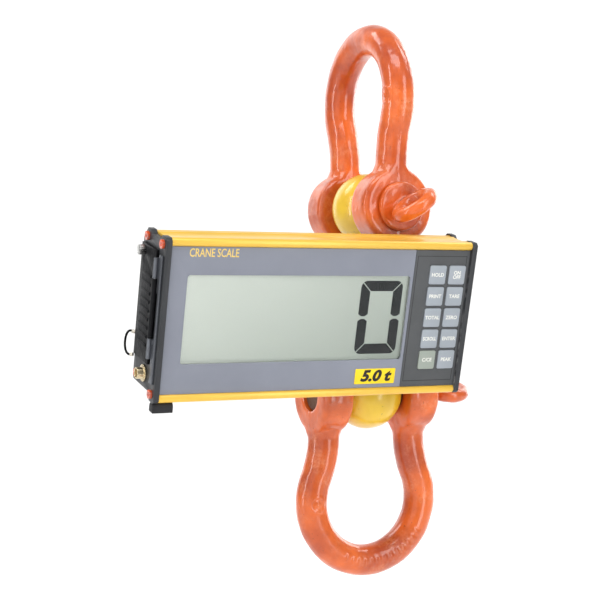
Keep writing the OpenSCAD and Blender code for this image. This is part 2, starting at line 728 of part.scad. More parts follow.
// Elbow on the right end plate that lets the cable out downwards
module display_gland() color("black") in_display() translate([display_w / 2, gland_y, gland_z]) difference() {
    union() {
        rotate([0, 90, 0]) cylinder(r = 7, h = 3, $fn = 6);
        along_x(4.9, -8, gland_out);
        translate([gland_out, 0, 0]) {
            sphere(4.9);
            translate([0, 0, -7]) cylinder(r = 4.9, h = 7);
            translate([0, 0, -7 - boot_l]) cylinder(r1 = cable_d / 2 + 0.7, r2 = 4.9, h = boot_l);
        }
    }
    translate([gland_out, 0, -8 - boot_l]) cylinder(d = cable_d, h = 4);
}

upper_bow();
upper_pin();
lower_bow();
lower_pin();
load_cell();
strain_gauges();
neck_seals();
front_shell();
rear_shell();
shell_screws();
amplifier_board();
cell_label();
socket();
socket_insert();
coupling_ring();
plug_body();
cable_clamp();
clamp_screws();
plug_grommet();
link_cable();
bracket();
bracket_screws();
bracket_washers();
bracket_nuts();
display_case();
top_rail();
bottom_rail();
front_panel();
window();
lcd_glass();
lcd_frame();
main_board();
keypad_panel();
key_board();
for (i = [0 : len(KEYS) - 1]) key(i);
mount_rails();
left_end_plate();
right_end_plate();
end_screws();
hinge_strip();
hinge_pin();
battery_door();
door_screw();
battery_cells();
battery_tray();
aux_port();
lanyard_loop();
end_foot();
capacity_label();
display_gland();
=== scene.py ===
import json
import math

import bmesh
import bpy
from mathutils import Matrix, Vector, noise


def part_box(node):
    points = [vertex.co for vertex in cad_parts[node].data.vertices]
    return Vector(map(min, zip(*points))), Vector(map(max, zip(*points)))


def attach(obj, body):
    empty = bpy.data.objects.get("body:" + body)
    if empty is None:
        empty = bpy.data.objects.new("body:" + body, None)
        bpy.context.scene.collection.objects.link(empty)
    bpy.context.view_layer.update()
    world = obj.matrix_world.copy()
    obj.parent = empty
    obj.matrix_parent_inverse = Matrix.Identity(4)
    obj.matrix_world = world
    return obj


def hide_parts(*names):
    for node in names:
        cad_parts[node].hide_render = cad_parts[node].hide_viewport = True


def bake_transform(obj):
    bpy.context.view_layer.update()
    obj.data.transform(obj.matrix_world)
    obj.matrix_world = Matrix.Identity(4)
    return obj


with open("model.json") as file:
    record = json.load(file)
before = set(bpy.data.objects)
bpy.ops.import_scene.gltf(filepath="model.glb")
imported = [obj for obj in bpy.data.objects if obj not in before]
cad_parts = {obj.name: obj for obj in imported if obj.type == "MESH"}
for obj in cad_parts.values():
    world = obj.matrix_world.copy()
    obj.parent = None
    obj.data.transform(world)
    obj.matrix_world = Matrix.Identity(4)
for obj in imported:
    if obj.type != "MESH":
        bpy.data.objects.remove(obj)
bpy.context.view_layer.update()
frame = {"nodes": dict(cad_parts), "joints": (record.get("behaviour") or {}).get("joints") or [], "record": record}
MM = 0.001
WELD = 0.01 * MM                              # CAD vertices closer than this are one
JOINTS = {j["name"]: j for j in frame["joints"]}
BODY_OF = {n: b for b, nodes in frame["record"]["behaviour"]["bodies"].items() for n in nodes}
SLOT_OF = {s["node"]: s["material_slot"] for s in frame["record"]["subparts"]}
KEYS = ["key_hold", "key_power", "key_print", "key_tare", "key_total", "key_zero",
        "key_scroll", "key_enter", "key_cancel", "key_peak"]

# ---------- places taken from the frame ----------

X, Y, Z = (Vector(v) for v in ((1, 0, 0), (0, 1, 0), (0, 0, 1)))
upper_pin_at = Vector(JOINTS["load_cell_swing"]["pos_m"])
lower_pin_at = Vector(JOINTS["lower_shackle_swing"]["pos_m"])
cell_at = (upper_pin_at + lower_pin_at) / 2


def middle(node):
    """Middle of a CAD node's box."""
    low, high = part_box(node)
    return (low + high) / 2


# The display's own axes: right along X, back into the case, up along the face
BACK = Vector(JOINTS["key_hold_press"]["axis"]).normalized()
UP = Vector(JOINTS["battery_door_open"]["axis"]).normalized()


def span_of(node, origin):
    """Lowest and highest corner of a CAD node along the display's axes, from origin."""
    points = [v.co - origin for v in frame["nodes"][node].data.vertices]
    axes = (X, BACK, UP)
    low = Vector([min(p.dot(a) for p in points) for a in axes])
    return low, Vector([max(p.dot(a) for p in points) for a in axes])


face = middle("front_panel")
face.x = middle("display_case").x
FRONT = face + BACK * span_of("front_panel", face)[0].y     # middle of the front panel's face


def on_face(x, z, y=0.0):
    """Point x to the right, z up and y behind the front panel's face, all in millimetres."""
    return FRONT + (X * x + BACK * y + UP * z) * MM


FACE_TURN = Matrix((X, UP, -BACK)).transposed()     # text on the face: right, up, towards the reader

# ---------- camera ----------

YAW, RISE, ROLL = math.radians(25.9), math.radians(0.96), math.radians(0.26)
DISTANCE = 1.104
ASIDE = -0.0531                               # the view's middle, to the right of the load line
ABOVE = 0.0008                                # the view's middle, above the load cell's
LENS = 83.5
AWAY = Vector((-math.sin(YAW) * math.cos(RISE), -math.cos(YAW) * math.cos(RISE), math.sin(RISE)))
RIGHT = Vector((math.cos(YAW), -math.sin(YAW), 0))


def make_camera():
    """Camera to the left of the display's front, level with the load cell."""
    camera = bpy.data.objects.new("camera", bpy.data.cameras.new("camera"))
    bpy.context.scene.collection.objects.link(camera)
    camera.location = cell_at + AWAY * DISTANCE + RIGHT * ASIDE + Z * ABOVE
    turn = (-AWAY).to_track_quat("-Z", "Y").to_matrix() @ Matrix.Rotation(ROLL, 3, "Z")
    camera.rotation_euler = turn.to_euler()
    camera.data.lens = LENS
    camera.data.clip_end = 50
    bpy.context.scene.camera = camera


make_camera()

# ---------- materials ----------
# Noise and cell scales are waves per metre; a ramp's first two numbers are the part of the noise it uses.


class Nodes:
    """Small builder for a material's node tree."""

    def __init__(self, name):
        self.material = bpy.data.materials.new(name)
        self.material.use_nodes = True
        self.tree = self.material.node_tree
        self.shader = self.tree.nodes["Principled BSDF"]
        self.place = self.add("ShaderNodeTexCoord").outputs["Object"]

    def add(self, kind, **values):
        """New node of a kind, with its properties."""
        node = self.tree.nodes.new(kind)
        for key, value in values.items():
            setattr(node, key, value)
        return node

    def join(self, source, target):
        self.tree.links.new(source, target)

    def set(self, **values):
        """Constants for the shader's sockets, with _ for a space in their names."""
        for key, value in values.items():
            self.shader.inputs[key.replace("_", " ")].default_value = value

    def stretch(self, scale, turn=(0, 0, 0)):
        """Object coordinates scaled along each axis."""
        node = self.add("ShaderNodeMapping")
        node.inputs["Scale"].default_value = scale
        node.inputs["Rotation"].default_value = turn
        self.join(self.place, node.inputs["Vector"])
        return node.outputs["Vector"]

    def noise(self, scale, detail=4.0, rough=0.55, vector=None):
        node = self.add("ShaderNodeTexNoise")
        node.inputs["Scale"].default_value = scale
        node.inputs["Detail"].default_value = detail
        node.inputs["Roughness"].default_value = rough
        self.join(vector or self.place, node.inputs["Vector"])
        return node.outputs["Fac"]

    def cells(self, scale):
        node = self.add("ShaderNodeTexVoronoi")
        node.inputs["Scale"].default_value = scale
        self.join(self.place, node.inputs["Vector"])
        return node.outputs["Distance"]

    def ramp(self, source, low, high, a=0.0, b=1.0):
        """A value that goes from a to b as source goes from low to high."""
        node = self.add("ShaderNodeMapRange", clamp=True)
        for name, value in (("From Min", low), ("From Max", high), ("To Min", a), ("To Max", b)):
            node.inputs[name].default_value = value
        self.join(source, node.inputs["Value"])
        return node.outputs["Result"]

    def mix(self, factor, a, b):
        """Colour between a and b; each is a colour or a socket."""
        node = self.add("ShaderNodeMix", data_type="RGBA")
        self.join(factor, node.inputs["Factor"])
        for name, value in (("A", a), ("B", b)):
            socket = [s for s in node.inputs if s.name == name and s.type == "RGBA"][0]
            if isinstance(value, bpy.types.NodeSocket):
                self.join(value, socket)
            else:
                socket.default_value = (*value[:3], 1)
        return [s for s in node.outputs if s.type == "RGBA"][0]

    def math(self, kind, a, b):
        """Math node; a and b are numbers or sockets."""
        node = self.add("ShaderNodeMath", operation=kind)
        for socket, value in zip(node.inputs, (a, b)):
            if isinstance(value, bpy.types.NodeSocket):
                self.join(value, socket)
            else:
                socket.default_value = value
        return node.outputs["Value"]

    def bump(self, *layers):
        """Bump from (height, strength, distance in millimetres), one on top of the other."""
        normal = None
        for height, strength, distance in layers:
            node = self.add("ShaderNodeBump")
            node.inputs["Strength"].default_value = strength
            node.inputs["Distance"].default_value = distance * MM
            self.join(height, node.inputs["Height"])
            if normal:
                self.join(normal, node.inputs["Normal"])
            normal = node.outputs["Normal"]
        self.join(normal, self.shader.inputs["Normal"])

    def edges(self, low, high):
        """1 on convex edges and 0 elsewhere."""
        return self.ramp(self.add("ShaderNodeNewGeometry").outputs["Pointiness"], low, high)

    def colour(self, socket):
        self.join(socket, self.shader.inputs["Base Color"])

    def rough(self, socket):
        self.join(socket, self.shader.inputs["Roughness"])


def shade(colour, factor):
    """Colour with every channel scaled by factor."""
    return [c * factor for c in colour]


def forged_paint(name, base, deep, dusty, worn, coat, relief):
    """Gloss paint over a forging: uneven tone, rubbed patches, pits, painted shade and grime darkening the
    hollows, and chips.
    """
    m = Nodes(name)
    colour = m.mix(m.ramp(m.noise(26, 5), 0.34, 0.66), deep, base)
    speckle = m.ramp(m.noise(420, 4, 0.7), 0.42, 0.60, 0.1, 1)
    dust = m.math("MULTIPLY", m.ramp(m.noise(34, 6, 0.68), 0.48, 0.68), speckle)
    colour = m.mix(m.math("MULTIPLY", dust, 0.5), colour, dusty)
    # Painted shade: edges(0.49, 0.455) is turned round and is 1 in the hollows, where the paint is darkened in
    # patches for shade and grime.
    hollow_shade_and_grime = m.math("MULTIPLY", m.edges(0.49, 0.455), m.ramp(m.noise(70, 5, 0.7), 0.3, 0.55))
    colour = m.mix(m.math("MULTIPLY", hollow_shade_and_grime, 0.85), colour, shade(deep, 0.22))
    pits = m.ramp(m.noise(360, 3, 0.6), 0.25, 0.34, 1, 0)
    colour = m.mix(m.math("MULTIPLY", pits, 0.6), colour, shade(deep, 0.3))
    chips = m.math("MULTIPLY", m.edges(0.53, 0.60), m.ramp(m.noise(120, 6, 0.7), 0.58, 0.68))
    colour = m.mix(m.math("MULTIPLY", chips, 0.85), colour, worn)
    m.colour(colour)
    m.rough(m.ramp(dust, 0.0, 1.0, 0.30, 0.5))
    m.set(Coat_Weight=coat, Coat_Roughness=0.07, Specular_IOR_Level=0.4)
    m.bump((m.noise(48, 4), 0.5 * relief, 1.0), (m.noise(210, 4, 0.6), 0.35 * relief, 0.3),
           (pits, -0.5 * relief, 0.25))
    return m.material


def plain_paint(name, base, rough=0.42, grain=900, depth=0.06, spread=0.12, worn=None, shine=0.35):
    """Sprayed paint or powder coat with a fine grain and slightly rubbed edges."""
    m = Nodes(name)
    colour = m.mix(m.ramp(m.noise(22, 5), 0.3, 0.7), shade(base, 1 - spread), shade(base, 1 + spread))
    if worn:
        rubbed = m.math("MULTIPLY", m.edges(0.54, 0.62), m.ramp(m.noise(180, 5), 0.4, 0.62))
        colour = m.mix(m.math("MULTIPLY", rubbed, 0.7), colour, worn)
    m.colour(colour)
    m.rough(m.ramp(m.noise(70, 4), 0.3, 0.7, rough - 0.07, rough + 0.09))
    m.set(Specular_IOR_Level=shine)
    m.bump((m.noise(grain, 2), 0.5, depth), (m.noise(40, 3), 0.25, 0.12))
    return m.material


def extruded_metal(name, base, rough=0.30, metal=1.0, coat=0.0):
    """Extruded aluminium: fine die lines along its length and slow changes of tone."""
    m = Nodes(name)
    lines = m.noise(1, 3, 0.6, m.stretch((6, 900, 900)))
    colour = m.mix(m.ramp(m.noise(18, 4), 0.3, 0.7), shade(base, 0.88), shade(base, 1.06))
    colour = m.mix(m.ramp(lines, 0.35, 0.65, 0, 0.18), colour, shade(base, 0.7))
    m.colour(colour)
    m.rough(m.ramp(lines, 0.3, 0.7, rough - 0.06, rough + 0.10))
    m.set(Metallic=metal, Coat_Weight=coat, Coat_Roughness=0.2)
    m.bump((lines, 0.25, 0.05), (m.noise(260, 3), 0.15, 0.05))
    return m.material


def turned_metal(name, base, rough=0.30, dull=0.5):
    """Machined or plated metal with fine scratches and dull patches."""
    m = Nodes(name)
    scratches = m.noise(1, 3, 0.7, m.stretch((1400, 160, 1400), (0.4, 0.2, 0.7)))
    patches = m.ramp(m.noise(130, 5), 0.42, 0.66)
    m.colour(m.mix(m.math("MULTIPLY", patches, dull), base, shade(base, 0.45)))
    m.rough(m.ramp(m.noise(220, 4), 0.3, 0.7, rough - 0.1, rough + 0.14))
    m.set(Metallic=1.0)
    m.bump((scratches, 0.2, 0.03), (m.noise(500, 2), 0.15, 0.03))
    return m.material


def moulded(name, base, rough=0.5, grain=1500, depth=0.04, spread=0.08, shine=0.3):
    """Moulded plastic, rubber or printed film with a fine skin."""
    m = Nodes(name)
    colour = m.mix(m.ramp(m.noise(30, 4), 0.3, 0.7), shade(base, 1 - spread), shade(base, 1 + spread))
    dust = m.ramp(m.noise(160, 6, 0.7), 0.58, 0.8, 0, 0.10)
    m.colour(m.mix(dust, colour, [c * 0.7 + 0.15 for c in base]))
    m.rough(m.ramp(m.noise(90, 4), 0.3, 0.7, rough - 0.06, rough + 0.08))
    m.set(Specular_IOR_Level=shine)
    m.bump((m.cells(grain), 0.3, depth), (m.noise(50, 3), 0.12, 0.08))
    return m.material


def clear_pane(name):
    """Clear acrylic pane with the faintest haze and wipe marks."""
    m = Nodes(name)
    wipes = m.noise(1, 4, 0.6, m.stretch((30, 300, 90), (0, 0.5, 0)))
    m.rough(m.ramp(wipes, 0.45, 0.75, 0.03, 0.10))
    m.set(Base_Color=(0.97, 0.99, 0.98, 1), Transmission_Weight=1.0, IOR=1.12)
    m.bump((m.noise(25, 2), 0.04, 0.05))
    return m.material


def lcd_surface(name, left, right):
    """Reflective LCD glass: pale green-grey, with a painted reflection of the lamps that makes it brighter towards
    its upper left, a mottled back layer and a faint painted glow.
    """
    m = Nodes(name)
    split = m.add("ShaderNodeSeparateXYZ")
    m.join(m.place, split.inputs["Vector"])
    # x - 1.4 z grows to the lower right; the face is about 0.2 m under the frame's origin
    slope = m.math("MULTIPLY_ADD", split.outputs["Z"], -1.4)
    m.join(split.outputs["X"], slope.node.inputs[2])
    # Painted reflection: the glass is painted pale at its upper left and darker towards its lower right, as the
    # lamps' light falls across it.
    painted_light_fall = m.ramp(slope, left + 0.24, right + 0.34)
    cloud = m.ramp(m.noise(14, 4), 0.3, 0.7, 0, 0.15)
    colour = m.mix(painted_light_fall, (0.75, 0.78, 0.72), (0.325, 0.36, 0.32))
    colour = m.mix(cloud, colour, (0.50, 0.54, 0.48))
    colour = m.mix(m.ramp(m.noise(1800, 2), 0.4, 0.6, 0, 0.10), colour, (0.42, 0.46, 0.40))
    m.colour(colour)
    m.rough(m.ramp(m.noise(60, 3), 0.3, 0.7, 0.30, 0.42))
    # Painted glow: the glass faintly gives off its own colour as light, painted reflection included, making it
    # brighter than the lamps alone would.
    m.join(colour, m.shader.inputs["Emission Color"])
    m.set(Emission_Strength=0.06)
    m.bump((m.noise(2400, 2), 0.12, 0.02))
    return m.material


lcd_left, lcd_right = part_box("lcd_glass")[0].x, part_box("lcd_glass")[1].x
ORANGE, RED_ORANGE = (0.85, 0.160, 0.019), (0.46, 0.062, 0.010)
FINISH = {
    "orange_paint": forged_paint("orange_paint", ORANGE, RED_ORANGE, (0.86, 0.36, 0.18), (0.16, 0.08, 0.06),
                                 0.6, 1.5),
    "yellow_paint": forged_paint("yellow_paint", (0.90, 0.60, 0.035), (0.70, 0.42, 0.020), (0.90, 0.68, 0.16),
                                 (0.25, 0.19, 0.12), 0.5, 0.6),
    "dark_casting": plain_paint("dark_casting", (0.085, 0.090, 0.105), 0.48, 700, 0.14, 0.15,
                                (0.28, 0.28, 0.29)),
    "gauge_film": moulded("gauge_film", (0.6, 0.33, 0.08)),
    "seal_rubber": moulded("seal_rubber", (0.022, 0.022, 0.024), 0.62, 900, 0.06),
    "steel_screw": turned_metal("steel_screw", (0.60, 0.60, 0.58)),
    "board_green": moulded("board_green", (0.02, 0.13, 0.05), 0.35),
    "label_yellow": moulded("label_yellow", (0.95, 0.68, 0.015), 0.38, 2400, 0.01),
    "nickel": turned_metal("nickel", (0.62, 0.58, 0.50), 0.26, 0.35),
    "contact_black": moulded("contact_black", (0.03, 0.03, 0.03)),
    "cable_grey": moulded("cable_grey", (0.16, 0.17, 0.18), 0.5, 1200, 0.03),
    "bracket_grey": plain_paint("bracket_grey", (0.125, 0.140, 0.195), 0.40, 900, 0.07, 0.10,
                                (0.40, 0.40, 0.42)),
    "case_metal": extruded_metal("case_metal", (0.16, 0.17, 0.20), 0.38, 0.6),
    "rail_yellow": extruded_metal("rail_yellow", (0.90, 0.55, 0.065), 0.34, 0.2, 0.25),
    "panel_grey": moulded("panel_grey", (0.242, 0.257, 0.306), 0.42, 2600, 0.025, 0.05),
    "clear_window": clear_pane("clear_window"),
    "lcd_green": lcd_surface("lcd_green", lcd_left, lcd_right),
    "frame_black": moulded("frame_black", (0.035, 0.036, 0.040), 0.55),
    "keypad_dark": moulded("keypad_dark", (0.082, 0.086, 0.090), 0.46, 2200, 0.03),
    "key_blue": moulded("key_blue", (0.35, 0.385, 0.425), 0.5, 1700, 0.03, 0.05),
    "end_black": plain_paint("end_black", (0.034, 0.036, 0.040), 0.42, 800, 0.08, 0.12, (0.30, 0.30, 0.31)),
    "screw_orange": plain_paint("screw_orange", (0.80, 0.10, 0.02), 0.35, 900, 0.05, 0.1, (0.5, 0.5, 0.5)),
    "hinge_metal": extruded_metal("hinge_metal", (0.16, 0.17, 0.19), 0.42),
    "door_black": moulded("door_black", (0.009, 0.0095, 0.011), 0.5, 420, 0.5, 0.4, 0.12),
    "cell_sleeve": moulded("cell_sleeve", (0.05, 0.12, 0.3), 0.3),
    "port_metal": turned_metal("port_metal", (0.72, 0.60, 0.38), 0.24, 0.4),
    "rope_black": moulded("rope_black", (0.007, 0.007, 0.007), 0.6, 1500, 0.04, 0.08, 0.1),
}
EXTRA = {
    "lcd_ink": moulded("lcd_ink", (0.013, 0.014, 0.016), 0.35, 3000, 0.01),
    "print_yellow": moulded("print_yellow", (0.86, 0.62, 0.16), 0.4, 3000, 0.01),
    "print_white": moulded("print_white", (0.82, 0.82, 0.76), 0.4, 3000, 0.01),
    "key_green": moulded("key_green", (0.335, 0.375, 0.330), 0.5, 1700, 0.03, 0.05),
    "print_black": moulded("print_black", (0.012, 0.012, 0.012), 0.4, 3000, 0.01),
    "pin_steel": turned_metal("pin_steel", (0.19, 0.095, 0.060), 0.45, 0.6),
    "keypad_line": moulded("keypad_line", (0.030, 0.031, 0.033), 0.45, 3000, 0.01),
}

# ---------- CAD nodes that keep their shape ----------

# Width of the rounded edge, in millimetres
SOFT_EDGE = {
    "front_shell": 1.1, "rear_shell": 1.1, "bracket": 0.45, "keypad_panel": 0.15,
    "front_panel": 0.15, "left_end_plate": 0.9, "right_end_plate": 0.9, "battery_door": 0.5,
    "top_rail": 0.35, "bottom_rail": 0.35, "display_case": 0.5, "mount_rails": 0.5, "hinge_strip": 0.3,
    "socket": 0.3, "coupling_ring": 0.12, "plug_body": 0.5, "cable_clamp": 0.35, "end_foot": 0.5,
    "shell_screws": 0.25, "bracket_screws": 0.3, "bracket_washers": 0.15, "bracket_nuts": 0.3,
    "end_screws": 0.25, "door_screw": 0.2, "aux_port": 0.35, "display_gland": 0.5,
    "plug_grommet": 0.3, "neck_seals": 0.4, "clamp_screws": 0.2, "cell_label": 0.08,
    "capacity_label": 0.08,
}
SOFT_EDGE.update({k: 0.35 for k in KEYS})


def smooth_by_angle(obj, degrees=32):
    """Shades obj's mesh smooth except across sharp edges."""
    mesh = obj.data
    mesh.shade_smooth()
    mesh.set_sharp_from_angle(angle=math.radians(degrees))


def finish_nodes():
    """Gives every CAD node its material, and rounds the edges of those that show."""
    flat, sharp = math.radians(1), math.radians(35)
    for name, node in frame["nodes"].items():
        if "custom_normal" in node.data.attributes:
            node.data.attributes.remove(node.data.attributes["custom_normal"])
        node.data.materials.clear()
        node.data.materials.append(FINISH[SLOT_OF[name]])
        node.data.polygons.foreach_set("material_index", [0] * len(node.data.polygons))
        if name in SOFT_EDGE:
            weld = node.modifiers.new("weld", "WELD")
            weld.merge_threshold = WELD
            plain = node.modifiers.new("plain", "DECIMATE")
            plain.decimate_type = "DISSOLVE"
            plain.angle_limit = flat
            bevel = node.modifiers.new("bevel", "BEVEL")
            bevel.width = SOFT_EDGE[name] * MM
            bevel.segments = 3
            bevel.limit_method = "ANGLE"
            bevel.angle_limit = sharp
            bevel.use_clamp_overlap = True
        smooth_by_angle(node)
    frame["nodes"]["key_cancel"].data.materials[0] = EXTRA["key_green"]


finish_nodes()

# ---------- helpers for new pieces ----------


def add_piece(name, mesh, body, finish, replaces=(), smooth=True):
    """Links a new piece, made of mesh, that rides on body, or on none where it is blended."""
    piece = bpy.data.objects.new(name, mesh)
    bpy.context.scene.collection.objects.link(piece)
    mesh.materials.append(finish)
    if smooth:
        smooth_by_angle(piece)
    if body:
        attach(piece, body)
    if replaces:
        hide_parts(*replaces)
    return piece


def mesh_of(name, points, faces):
    """New mesh from points and the faces between them."""
    mesh = bpy.data.meshes.new(name)
    mesh.from_pydata([tuple(p) for p in points], [], faces)
    mesh.validate()
    return mesh


def ring(at, side, other, radius, around):
    """Points on a circle about a place, across two directions."""
    turns = [2 * math.pi * k / around for k in range(around)]
    return [at + (side * math.cos(a) + other * math.sin(a)) * radius for a in turns]


def ring_faces(rows, around, base=0):
    """Faces of a closed tube whose rows of points, with around points in each, start at point base."""
    faces = []
    for i in range(rows - 1):
        for k in range(around):
            a, b = base + i * around + k, base + i * around + (k + 1) % around
            faces.append((a, b, b + around, a + around))
    faces.append(tuple(base + k for k in reversed(range(around))))
    faces.append(tuple(base + (rows - 1) * around + k for k in range(around)))
    return faces


def steps_along(path, side):
    """Each point of a path with two directions across the path, the first as near side as it can be."""
    for i, p in enumerate(path):
        ahead = (path[min(i + 1, len(path) - 1)] - path[max(i - 1, 0)]).normalized()
        side = (side - ahead * side.dot(ahead)).normalized()
        yield p, side, ahead.cross(side)


def tube(name, path, radius, around):
    """Round tube along path, closed at both ends."""
    points = []
    for p, side, other in steps_along(path, Z):
        points += ring(p, side, other, radius, around)
    return mesh_of(name, points, ring_faces(len(path), around))


def remeshed(node, voxel, rounds):
    """A copy of a CAD node's mesh, remeshed in even steps and smoothed, as a forging is."""
    source = bmesh.new()
    source.from_mesh(frame["nodes"][node].data)
    bmesh.ops.remove_doubles(source, verts=source.verts, dist=WELD)
    mesh = bpy.data.meshes.new(node + "_even")
    source.to_mesh(mesh)
    source.free()
    holder = bpy.data.objects.new(node + "_even", mesh)
    bpy.context.scene.collection.objects.link(holder)
    remesh = holder.modifiers.new("remesh", "REMESH")
    remesh.mode = "VOXEL"
    remesh.voxel_size = voxel * MM
    soften = holder.modifiers.new("soften", "SMOOTH")
    soften.factor = 0.5
    soften.iterations = rounds
    evaluated = holder.evaluated_get(bpy.context.evaluated_depsgraph_get())
    result = bpy.data.meshes.new_from_object(evaluated)
    bpy.data.objects.remove(holder)
    bpy.data.meshes.remove(mesh)
    return result


def ream(mesh, at, axis, radius, reach):
    """Puts back a round hole that smoothing has changed: its wall goes to radius about the axis."""
    near = radius + 0.5 * MM                  # skin closer to the axis than this is the hole's wall
    for v in mesh.vertices:
        arm = v.co - at
        along = arm.dot(axis)
        across = arm - axis * along
        if abs(along) < reach and across.length < near:
            v.co = at + axis * along + across.normalized() * radius


def hammer(mesh, depth, size, seed):
    """Slight unevenness of a hand-finished forging."""
    shift = Vector((seed, 2 * seed, 3 * seed))
    normals = [v.normal.copy() for v in mesh.vertices]
    for v, n in zip(mesh.vertices, normals):
        v.co += n * depth * MM * (noise.noise(v.co / (size * MM) + shift) - 0.5)


def part_line(mesh, at, across, height, keep_off):
    """Low ridge that the two forging dies leave along the bow's middle plane."""
    half_width = 0.9 * MM
    normals = [v.normal.copy() for v in mesh.vertices]
    for v, n in zip(mesh.vertices, normals):
        off = (v.co - at).dot(across)
        arm = (v.co - at) - across * off
        if arm.length > keep_off and abs(n.dot(across)) < 0.5:
            v.co += n * height * MM * math.exp(-(off / half_width) ** 2)


def raise_marks(mesh, facing, height, drawn):
    """Raises the skin that faces one way wherever drawn(point) is 1, fading out as it goes to 0."""
    least_facing = 0.35
    normals = [v.normal.copy() for v in mesh.vertices]
    for v, n in zip(mesh.vertices, normals):
        if n.dot(facing) > least_facing:
            v.co += facing * height * MM * drawn(v.co)


# ---------- shackles and load cell ----------

PIN_R = 12.5 * MM
BORE_R = PIN_R + 0.08 * MM
CROWN_FROM = 80 * MM                          # farther than this from its pin, a bow is bare bar


def stamp_at(at, radius):
    """Ring with a dot in it, as a forge's check mark, around a place on the bar."""
    line, dot = 1.1 * MM, 1.8 * MM

    def drawn(p):
        off = (p - at).length
        circle = max(0, 1 - abs(off - radius * MM) / line)
        return max(circle, 1 if off < dot else 0)
    return drawn


def pips_around(centre, radius, axis, first, last, step_deg):
    """Row of short raised bars along the bow's crown, counted from its lowest place about a centre."""
    half_length, half_width, slope = 4 * MM, 1.5 * MM, 0.6 * MM

    def drawn(p):
        arm = p - centre
        arm -= axis * arm.dot(axis)
        turn = math.degrees(math.atan2(arm.dot(axis.cross(Z)), -arm.z)) / step_deg
        near = round(turn)
        if not first <= near <= last or abs(arm.length - radius) > half_length:
            return 0
        off = abs(turn - near) * math.radians(step_deg) * radius
        return max(0, min(1, (half_width - off) / slope))
    return drawn


def make_bow(node, name, pin_at, pin_axis, plane_normal, seed):
    """Forged bow with its die line, forge marks and bores; the bar is measured on its own mesh."""
    mesh = remeshed(node, voxel=0.9, rounds=14)
    hammer(mesh, depth=0.35, size=14, seed=seed)
    hammer(mesh, depth=0.12, size=4, seed=seed + 1)
    part_line(mesh, pin_at, plane_normal, height=0.1, keep_off=36 * MM)
    low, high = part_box(node)
    up = 1 if high.z - pin_at.z > pin_at.z - low.z else -1
    crown = [v.co for v in mesh.vertices if (v.co.z - pin_at.z) * up > CROWN_FROM]
    bar = max(abs(p.dot(plane_normal)) for p in crown)
    side = max(abs(v.co.dot(pin_axis)) for v in mesh.vertices) - bar
    centre = Vector(pin_at)
    centre.z = (high.z if up > 0 else low.z) - up * (side + bar)
    front = -plane_normal if plane_normal.y else -X
    leg = centre - pin_axis * side
    raise_marks(mesh, front, 0.7, stamp_at(leg + front * bar, radius=6.2))
    if up < 0:
        raise_marks(mesh, front, 0.5, pips_around(centre, side, front, first=-8, last=4, step_deg=7))
    ream(mesh, pin_at, pin_axis, BORE_R, reach=60 * MM)
    add_piece(name, mesh, BODY_OF[node], FINISH["orange_paint"], [node])


make_bow("upper_bow", "upper_bow_forging", upper_pin_at, Y, X, 3.1)
make_bow("lower_bow", "lower_bow_forging", lower_pin_at, X, Y, 7.7)


def threaded_shank(name, at, axis, start, thread_end, end, body):
    """Pin's shank from the thread's tip at start to the collar at end, along axis from at."""
    side = axis.orthogonal().normalized()
    other = axis.cross(side)
    pitch, depth, lead_in, play = 3 * MM, 0.9 * MM, 1.5 * MM, 0.05 * MM
    around, rows_per_turn = 48, 8
    rows = int(round((end - start) / pitch * rows_per_turn))
    points = []
    for i in range(rows + 1):
        along = start + (end - start) * i / rows
        for k in range(around):
            turn = k / around
            wave = abs(2 * ((along / pitch - turn) % 1) - 1)
            fade = min(1, max(0, (thread_end - along) / pitch))
            chamfer = max(0, lead_in - (along - start))
            r = PIN_R - play - depth * wave * fade - chamfer
            angle = 2 * math.pi * turn
            points.append(at + axis * along + (side * math.cos(angle) + other * math.sin(angle)) * r)
    shank = mesh_of(name, points, ring_faces(rows + 1, around))
    add_piece(name, shank, body, EXTRA["pin_steel"])


def along(node, at, axis):
    """How far a CAD node reaches along an axis from a place, level with it: least and most."""
    level = PIN_R * 1.5
    offs = [v.co - at for v in frame["nodes"][node].data.vertices]
    reach = [off.dot(axis) for off in offs if abs(off.z) < level]
    return min(reach), max(reach)


def make_pin(node, name, bow, pin_at, axis):
    """Forged eye and collar of a screw pin, and its threaded shank."""
    tip = along(node, pin_at, axis)[0]
    ear = along(bow, pin_at, axis)[1]
    mesh = remeshed(node, voxel=0.7, rounds=14)
    work = bmesh.new()
    work.from_mesh(mesh)
    collar = ear + 0.1 * MM                   # the collar's inner face, just clear of the ear
    cut = bmesh.ops.bisect_plane(work, geom=work.verts[:] + work.edges[:] + work.faces[:],
                                 plane_co=pin_at + axis * collar, plane_no=axis, clear_inner=True)
    rim = [e for e in cut["geom_cut"] if isinstance(e, bmesh.types.BMEdge)]
    bmesh.ops.contextual_create(work, geom=rim)
    work.to_mesh(mesh)
    work.free()
    hammer(mesh, depth=0.3, size=8, seed=5.3)
    body, thread, into_collar = BODY_OF[node], 22 * MM, 0.3 * MM
    add_piece(name + "_eye", mesh, body, FINISH["orange_paint"], [node])
    threaded_shank(name + "_shank", pin_at, axis, tip, tip + thread, collar + into_collar, body)


make_pin("upper_pin", "upper_pin_forging", "upper_bow", upper_pin_at, -Y)
make_pin("lower_pin", "lower_pin_forging", "lower_bow", lower_pin_at, X)


def make_cell():
    """Load cell body with its two bores across each other."""
    mesh = remeshed("load_cell", voxel=0.9, rounds=12)
    hammer(mesh, depth=0.15, size=9, seed=1.9)
    for at, axis in ((upper_pin_at, Y), (lower_pin_at, X)):
        ream(mesh, at, axis, BORE_R, reach=50 * MM)
    add_piece("load_cell_body", mesh, "load_cell", FINISH["yellow_paint"], ["load_cell"])


make_cell()

# ---------- link cable ----------

CABLE_D = 4 * MM
